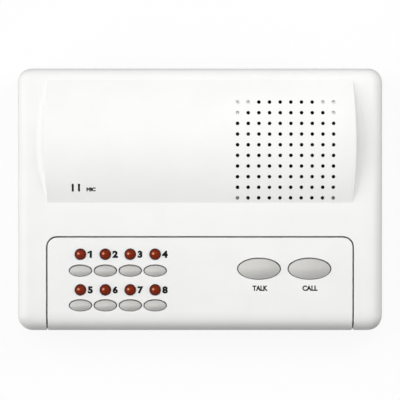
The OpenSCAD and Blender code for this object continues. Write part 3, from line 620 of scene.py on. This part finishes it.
# %% [markdown]
# ## Button panel
#
# The panel is a plate of its own, let into the cover with a fine seam all round. It carries on over the
# rounded front edge and down to the parting line. One fill makes the flat plate with its holes, and a
# quarter spin of the front edge follows the rounding of the cover exactly. A flat rim below the seam
# stands for the panel's flange, so that no light or wire shows through the seam.

# %% Places of the keys and lamps
station_w = 10 * mm
station_h = 4.8 * mm
wide_w = 19.5 * mm
wide_h = 9.4 * mm
cap_gap = 0.45 * mm
lamp_d = 5 * mm
lamp_hole = 5.4 * mm
station_us = [(-55.7 + 11.6 * k) * mm for k in range(4)]
station_uv = [(u, v * mm) for v in (-33.1, -49.3) for u in station_us]
lamp_uv = [(u, v * mm) for v in (-25.5, -42.1) for u in station_us]
wide_uv = {"talk_key": (27.5 * mm, -32.2 * mm), "call_key": (51 * mm, -32.2 * mm)}
oval_steps = 48
hole_steps = 32


def oval_line(centre, width, height, grow=0.0):
    turns = arc((0, 0), 1, 0, 2 * math.pi, oval_steps)[:-1]
    return [(centre[0] + x * (width / 2 + grow), centre[1] + y * (height / 2 + grow)) for x, y in turns]


print("keys:", len(station_uv) + len(wide_uv), "and lamps:", len(lamp_uv))

# %% Plate of the button panel
plate = bmesh.new()
outline = panel_line(-seam / 2)
rims = loop(plate, outline)
front_edge = rims[-1]
for place in lamp_uv:
    rims += loop(plate, arc(place, lamp_hole / 2, 0, 2 * math.pi, hole_steps)[:-1])
for place in station_uv:
    rims += loop(plate, oval_line(place, station_w, station_h, cap_gap))
for place in wide_uv.values():
    rims += loop(plate, oval_line(place, wide_w, wide_h, cap_gap))
flat_fill(plate, rims)
turned = bmesh.ops.spin(plate, geom=[front_edge, *front_edge.verts], cent=(0, -flat_l, -edge_r),
                        axis=(1, 0, 0), angle=math.pi / 2, steps=round_steps)["geom_last"]
dropped = bmesh.ops.extrude_edge_only(plate, edges=only(bmesh.types.BMEdge, turned))["geom"]
bmesh.ops.translate(plate, vec=(0, 0, -slab_deep / 2), verts=only(bmesh.types.BMVert, dropped))
cut(plate, parting, -upward, plate.faces[:], drop=True)
bmesh.ops.remove_doubles(plate, verts=plate.verts[:], dist=tiny)
outside_up(plate, nearest_face(plate, (0, panel_v - panel_l / 2, 0)))
cut_front(plate)
bmesh.ops.solidify(plate, geom=plate.faces[:], thickness=wall)
round_edges(plate, parting_rims(plate), parting_soft, soft_steps)
round_edges(plate, outer_rims(plate), rim_soft, soft_steps)
print("plate:", len(plate.faces), "faces")

# %% Flange below the seam
lap_n = -wall - 2.6 * mm
lap_t = 1 * mm
lap_out = 1.7 * mm
lap_in = -1.1 * mm
lap_rims = loop(plate, panel_line(lap_out), lap_n) + loop(plate, panel_line(lap_in), lap_n)
bmesh.ops.solidify(plate, geom=flat_fill(plate, lap_rims), thickness=lap_t)
roll_front(plate)
finish_piece(plate, "button_panel_plate", "shell_white", face, stands_for=["button_panel"])

# %% [markdown]
# ## Keys
#
# Each key is a small pillow: steep at its rim, nearly flat on top. It is drawn up ring by ring from one
# oval, as on a lathe that follows the oval, and closed with a point. Below the panel, a flange keeps the
# cap in its hole and a stem reaches the switch. Each cap rides the body that its joint slides. As the
# face leans, the caps rest a little low in their holes, so the gap is wider and darker above them.

# %% Key caps
cap_n = -2.3 * mm
flange_t = 1 * mm
flange_lap = 0.8 * mm
flange_narrow = 0.96
stem_d = 4.2 * mm
stem_n = -4.7 * mm
cap_slack = 0.12 * mm
rim_rings = [(0.08, 0.3), (0.25, 0.55), (0.5, 0.78), (0.8, 0.96), (1.0, 1.05)]
crown_rings = [0.92, 0.82, 0.7, 0.56, 0.4, 0.24, 0.1]
station_cap = {"rim": 0.1 * mm, "soft": 0.3 * mm, "crown": 1.8 * mm}
wide_cap = {"rim": 0.2 * mm, "soft": 0.5 * mm, "crown": 2.9 * mm}


def ring_up(bm, ring, place, wide, deep, height):
    drawn = bmesh.ops.extrude_edge_only(bm, edges=ring)["geom"]
    corners = only(bmesh.types.BMVert, drawn)
    for vert in corners:
        u = place[0] + (vert.co.x - place[0]) * wide
        v = place[1] + (vert.co.y - place[1]) * deep
        vert.co = (u, v, height)
    return [e for e in only(bmesh.types.BMEdge, drawn) if all(v in corners for v in e.verts)]


def lower(place):
    return place[0], place[1] - cap_slack


def key_foot(bm, skirt, place, width, height):
    lap = 1 + 2 * flange_lap / height
    under = cap_n - flange_t
    ring = ring_up(bm, skirt, place, flange_narrow, lap, cap_n)
    ring = ring_up(bm, ring, place, 1, 1, under)
    ring = ring_up(bm, ring, place, stem_d / width / flange_narrow, stem_d / height / lap, under)
    ring = ring_up(bm, ring, place, 1, 1, stem_n)
    bmesh.ops.contextual_create(bm, geom=ring)


def key_cap(name, place, width, height, rim, soft, crown):
    bm = bmesh.new()
    skirt = loop(bm, oval_line(place, width, height), cap_n)
    key_foot(bm, skirt, place, width, height)
    ring = ring_up(bm, skirt, place, 1, 1, rim)
    wide, deep, top = width / 2, height / 2, rim
    for inset, climb in rim_rings:
        new_wide, new_deep = width / 2 - inset * soft, height / 2 - inset * soft
        top = rim + climb * soft
        ring = ring_up(bm, ring, place, new_wide / wide, new_deep / deep, top)
        wide, deep = new_wide, new_deep
    share = 1.0
    for s in crown_rings:
        ring = ring_up(bm, ring, place, s / share, s / share, top + (crown - top) * (1 - s * s))
        share = s
    bmesh.ops.contextual_create(bm, geom=ring)
    bmesh.ops.recalc_face_normals(bm, faces=bm.faces[:])
    finish_piece(bm, name + "_cap", "key_grey", face, body=name, stands_for=[name], sharp=50)


for k, place in enumerate(station_uv):
    key_cap(f"station_key_{k + 1}", lower(place), station_w, station_h, **station_cap)
for name, place in wide_uv.items():
    key_cap(name, lower(place), wide_w, wide_h, **wide_cap)

# %% [markdown]
# ## Lamps
#
# A station lamp is a common round one: a dome on a short cylinder, with a small flange at its foot. Its
# profile is drawn once from the tip down and spun about the lamp's own axis. The UV map that its finish
# reads is the lamp's disc, seen square to the face.

# %% Station lamps
lamp_tip = 2 * mm
lamp_foot = -6.6 * mm
lamp_flange_d = 5.8 * mm
lamp_flange_t = 1 * mm
dome_steps = 12
spin_steps = 36


def map_lens(bm, place):
    lens_map = bm.loops.layers.uv.new("lens")
    for f in bm.faces:
        for corner in f.loops:
            away = corner.vert.co - Vector((*place, 0))
            corner[lens_map].uv = (0.5 + away.x / lamp_d, 0.5 + away.y / lamp_d)


def station_lamp(number, place):
    bm = bmesh.new()
    r = lamp_d / 2
    brim = lamp_foot + lamp_flange_t
    profile = arc((0, lamp_tip - r), r, math.pi / 2, 0, dome_steps)
    profile += [(r, brim), (lamp_flange_d / 2, brim), (lamp_flange_d / 2, lamp_foot), (0, lamp_foot)]
    points = [bm.verts.new((place[0] + x, place[1], n)) for x, n in profile]
    line = [bm.edges.new(pair) for pair in zip(points, points[1:])]
    bmesh.ops.spin(bm, geom=points + line, cent=(*place, 0), axis=(0, 0, 1), angle=2 * math.pi,
                   steps=spin_steps, use_merge=True)
    bmesh.ops.remove_doubles(bm, verts=bm.verts[:], dist=tiny)
    bmesh.ops.recalc_face_normals(bm, faces=bm.faces[:])
    map_lens(bm, place)
    node = f"station_lamp_{number}"
    finish_piece(bm, node + "_lens", "lamp_red", face, stands_for=[node], sharp=50)


for k, place in enumerate(lamp_uv):
    station_lamp(k + 1, place)

# %% [markdown]
# ## Print
#
# The numbers by the lamps and the words by the keys are thin black print. Text objects give the shapes,
# bold by a small bevel; only the one is drawn from a listed outline, because the font's has no flag. Each is
# made a mesh, flattened to a film of ink and laid on the face, a hair's breadth proud so that it never
# flickers. The word on the hood leans with its slope.

# %% Numbers and words
print_lift = 0.03 * mm
ink_share = 0.1
number_off = 4.6 * mm
number_cap = 3.4 * mm
word_cap = 2.5 * mm
word_v = -41.3 * mm
talk_word_u = 27.9 * mm
call_word_u = 51.2 * mm
mic_word_u = -50.7 * mm
mic_word_v = 4.8 * mm
mic_word_cap = 2 * mm
number_bold = 0.065
number_squeeze = 1.1
word_bold = 0.045
talk_squeeze = 0.86
call_squeeze = 0.93
mic_word_bold = 0.06
one_line = [(-0.08, 0), (0.2, 0), (0.2, 1), (-0.02, 1), (-0.35, 0.8), (-0.35, 0.56), (-0.08, 0.71)]


def word_shape(words, bold):
    shape = bpy.data.curves.new("print_" + words.lower(), "FONT")
    shape.body = words
    shape.align_x = "CENTER"
    shape.bevel_depth = bold
    shape.bevel_resolution = 1
    return shape


def one_shape():
    shape = bpy.data.curves.new("print_1", "CURVE")
    shape.dimensions = "2D"
    shape.fill_mode = "BOTH"
    stroke = shape.splines.new("POLY")
    stroke.points.add(len(one_line) - 1)
    for point, (x, y) in zip(stroke.points, one_line):
        point.co = (x, y, 0, 1)
    stroke.use_cyclic_u = True
    return shape


def label(shape, place, cap, squeeze=1.0, height=0.0, lean=0.0):
    holder = bpy.data.objects.new(shape.name, shape)
    mesh = bpy.data.meshes.new_from_object(holder)
    bpy.data.objects.remove(holder)
    low_v = min(v.co.y for v in mesh.vertices)
    high_v = max(v.co.y for v in mesh.vertices)
    size = cap / (high_v - low_v)
    mesh.transform(Matrix.Translation((0, -(low_v + high_v) / 2, 0)))
    mesh.transform(Matrix.Diagonal((size * squeeze, size, size * ink_share, 1)))
    mesh.transform(face @ Matrix.Translation((*place, height + print_lift)) @ Matrix.Rotation(lean, 4, "X"))
    mesh.materials.append(finishes["print_black"])
    piece = bpy.data.objects.new(shape.name, mesh)
    bpy.context.scene.collection.objects.link(piece)
    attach(piece, "housing")
    print(piece.name, len(mesh.polygons), "faces")


for k, (u, v) in enumerate(lamp_uv):
    number = word_shape(str(k + 1), number_bold) if k else one_shape()
    label(number, (u + number_off, v), number_cap, squeeze=number_squeeze)
label(word_shape("TALK", word_bold), (talk_word_u, word_v), word_cap, squeeze=talk_squeeze)
label(word_shape("CALL", word_bold), (call_word_u, word_v), word_cap, squeeze=call_squeeze)
mic_slope = math.atan2(hood_v - mic_word_v, hood_height(mic_word_v) - hood_rise + hood_arc)
label(word_shape("MIC", mic_word_bold), (mic_word_u, mic_word_v), mic_word_cap,
      height=hood_height(mic_word_v), lean=mic_slope)

# %% [markdown]
# ## Microphone
#
# Only the front of the microphone shows, through the slots, and felt makes it black there. The can itself
# is bare steel, so this piece has two finishes: the second one is for its front face.

# %% Microphone capsule
capsule_d = 9.7 * mm
capsule_h = 5 * mm
capsule_under = 1.4 * mm
capsule_n = -wall - capsule_under
capsule = bmesh.new()
capsule_middle = Matrix.Translation((mic_x, mic_v, capsule_n - capsule_h / 2))
bmesh.ops.create_cone(capsule, cap_ends=True, segments=oval_steps, radius1=capsule_d / 2,
                      radius2=capsule_d / 2, depth=capsule_h, matrix=capsule_middle)
nearest_face(capsule, (mic_x, mic_v, capsule_n)).material_index = 1
can = finish_piece(capsule, "microphone_can", "steel", face, stands_for=["microphone_capsule"])
can.data.materials.append(finishes["paper_black"])

# %% [markdown]
# ## Feet
#
# Four soft rubber discs carry the set. Only their lower rims show, and those are worn round.

# %% Rubber feet
foot_d = 12 * mm
foot_soft = 0.8 * mm
foot_steps = 4
foot_low, foot_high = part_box("rubber_feet")
feet = bmesh.new()
for x in (foot_low.x + foot_d / 2, foot_high.x - foot_d / 2):
    for y in (foot_low.y + foot_d / 2, foot_high.y - foot_d / 2):
        middle = Matrix.Translation((x, y, (foot_low.z + foot_high.z) / 2))
        bmesh.ops.create_cone(feet, cap_ends=True, segments=oval_steps, radius1=foot_d / 2,
                              radius2=foot_d / 2, depth=foot_high.z - foot_low.z, matrix=middle)
lower_rims = [e for e in feet.edges if all(v.co.z < foot_low.z + tiny for v in e.verts)]
round_edges(feet, lower_rims, foot_soft, foot_steps)
finish_piece(feet, "foot_pads", "rubber_black", Matrix.Identity(4), stands_for=["rubber_feet"])

# %% [markdown]
# ## Camera
#
# The photograph looks down on the set from far off, almost straight but a little from the front: its
# back wall doesn't show. The picture's scale gives the lens.

# %% Camera
photo_px = 400
px_per_mm = 2.152
camera_h = 1.6
camera_forward = 105 * mm
view_v = -0.2 * mm
frame_w = photo_px / px_per_mm * mm
camera_data = bpy.data.cameras.new("camera")
camera_data.lens = camera_data.sensor_width * camera_h / frame_w
camera = bpy.data.objects.new("camera", camera_data)
bpy.context.scene.collection.objects.link(camera)
camera.location = face @ Vector((0, view_v, 0)) + Vector((0, -camera_forward, camera_h))
camera.rotation_euler = (math.atan(camera_forward / camera_h), 0, 0)
bpy.context.scene.camera = camera
print("lens:", round(camera_data.lens), "mm, at", camera_h, "m")

# %% [markdown]
# ## Light
#
# Two soft round lamps hang over the set, one to the left and one to the right, both a little behind it:
# the hood's front slope and the rounded front edge fall into shade, and the panel darkens towards the
# user. A low glow on each side lights the rounded side edges, the left one more than the right.

# %% Lamps over the set
soft_size = 0.3
left_place = Vector((-0.18, 0.07, 0.45))
left_power = 0.605
right_place = Vector((0.16, 0.15, 0.45))
right_power = 0.85


def soft_light(name, place, power):
    lamp = bpy.data.lights.new(name, "AREA")
    lamp.shape = "DISK"
    lamp.size = soft_size
    lamp.energy = power
    holder = bpy.data.objects.new(name, lamp)
    bpy.context.scene.collection.objects.link(holder)
    holder.location = place
    holder.rotation_euler = (face.translation - place).to_track_quat("-Z", "Y").to_euler()
    print(name, power, "W")


soft_light("left_light", left_place, left_power)
soft_light("right_light", right_place, right_power)

# %% [markdown]
# The sky is a faint even dome with a glow at the left and at the right, each strongest low down. Only
# the light is drawn from it: rays that show the background itself, straight or mirrored, see plain white.

# %% Sky
even_sky = 0.12
left_glow = 2.6
right_glow = 1.2
glow_start = 0.5
glow_rise = 0.1
world = bpy.data.worlds.new("studio")
world.use_nodes = True
bpy.context.scene.world = world
bpy.context.scene.view_settings.view_transform = "Standard"
sky_tree = world.node_tree
sky = sky_tree.nodes["Background"]
sky.inputs["Color"].default_value = (1, 1, 1, 1)


def side_glow(side, low, high):
    way = sky_tree.nodes.new("ShaderNodeTexCoord")
    along = sky_tree.nodes.new("ShaderNodeVectorMath")
    along.operation = "DOT_PRODUCT"
    along.inputs[1].default_value = Vector((side, 0, glow_rise)).normalized()
    sky_tree.links.new(way.outputs["Generated"], along.inputs[0])
    return fade(sky_tree, along.outputs["Value"], glow_start, 1, low, high)


def add(tree, one, other, clamp=False):
    total = tree.nodes.new("ShaderNodeMath")
    total.use_clamp = clamp
    tree.links.new(one, total.inputs[0])
    tree.links.new(other, total.inputs[1])
    return total.outputs["Value"]


def background_rays(tree):
    rays = tree.nodes.new("ShaderNodeLightPath").outputs
    mirrored = add(tree, rays["Is Glossy Ray"], rays["Is Transmission Ray"], clamp=True)
    return add(tree, rays["Is Camera Ray"], mirrored, clamp=True)


strength = add(sky_tree, side_glow(-1, even_sky, left_glow), side_glow(1, 0, right_glow))
backdrop = sky_tree.nodes.new("ShaderNodeMix")
backdrop.inputs["B"].default_value = 1.0
sky_tree.links.new(background_rays(sky_tree), backdrop.inputs["Factor"])
sky_tree.links.new(strength, backdrop.inputs["A"])
sky_tree.links.new(backdrop.outputs["Result"], sky.inputs["Strength"])
print("sky:", len(sky_tree.nodes), "shader nodes")

# %% [markdown]
# ## Floor
#
# The floor looks white, as the photograph's background does, but throws little light back up, so the
# front edge stays dark. A part of its look is plain diffuse, which keeps the set's soft shadow.

# %% Floor
floor_half = 3.0
floor_dim = 0.06
floor_pale = 0.95
glow_share = 0.9
floor_bm = bmesh.new()
bmesh.ops.create_grid(floor_bm, x_segments=1, y_segments=1, size=floor_half)
floor_mesh = bpy.data.meshes.new("floor")
floor_bm.to_mesh(floor_mesh)
floor_bm.free()
floor = bpy.data.objects.new("floor", floor_mesh)
bpy.context.scene.collection.objects.link(floor)
floor_white, floor_tree, floor_shader = new_finish("floor_white")
floor_shader.inputs["Roughness"].default_value = 0.9
seen = background_rays(floor_tree)
floor_tree.links.new(fade(floor_tree, seen, 0, 1, floor_dim, floor_pale), floor_shader.inputs["Base Color"])
glow = floor_tree.nodes.new("ShaderNodeEmission")
glow.inputs["Color"].default_value = (1, 1, 1, 1)
blend = floor_tree.nodes.new("ShaderNodeMixShader")
floor_tree.links.new(fade(floor_tree, seen, 0, 1, 0, glow_share), blend.inputs["Fac"])
floor_tree.links.new(floor_shader.outputs["BSDF"], blend.inputs[1])
floor_tree.links.new(glow.outputs["Emission"], blend.inputs[2])
floor_tree.links.new(blend.outputs["Shader"], floor_tree.nodes["Material Output"].inputs["Surface"])
floor_mesh.materials.append(floor_white)
print("floor:", 2 * floor_half, "m wide")
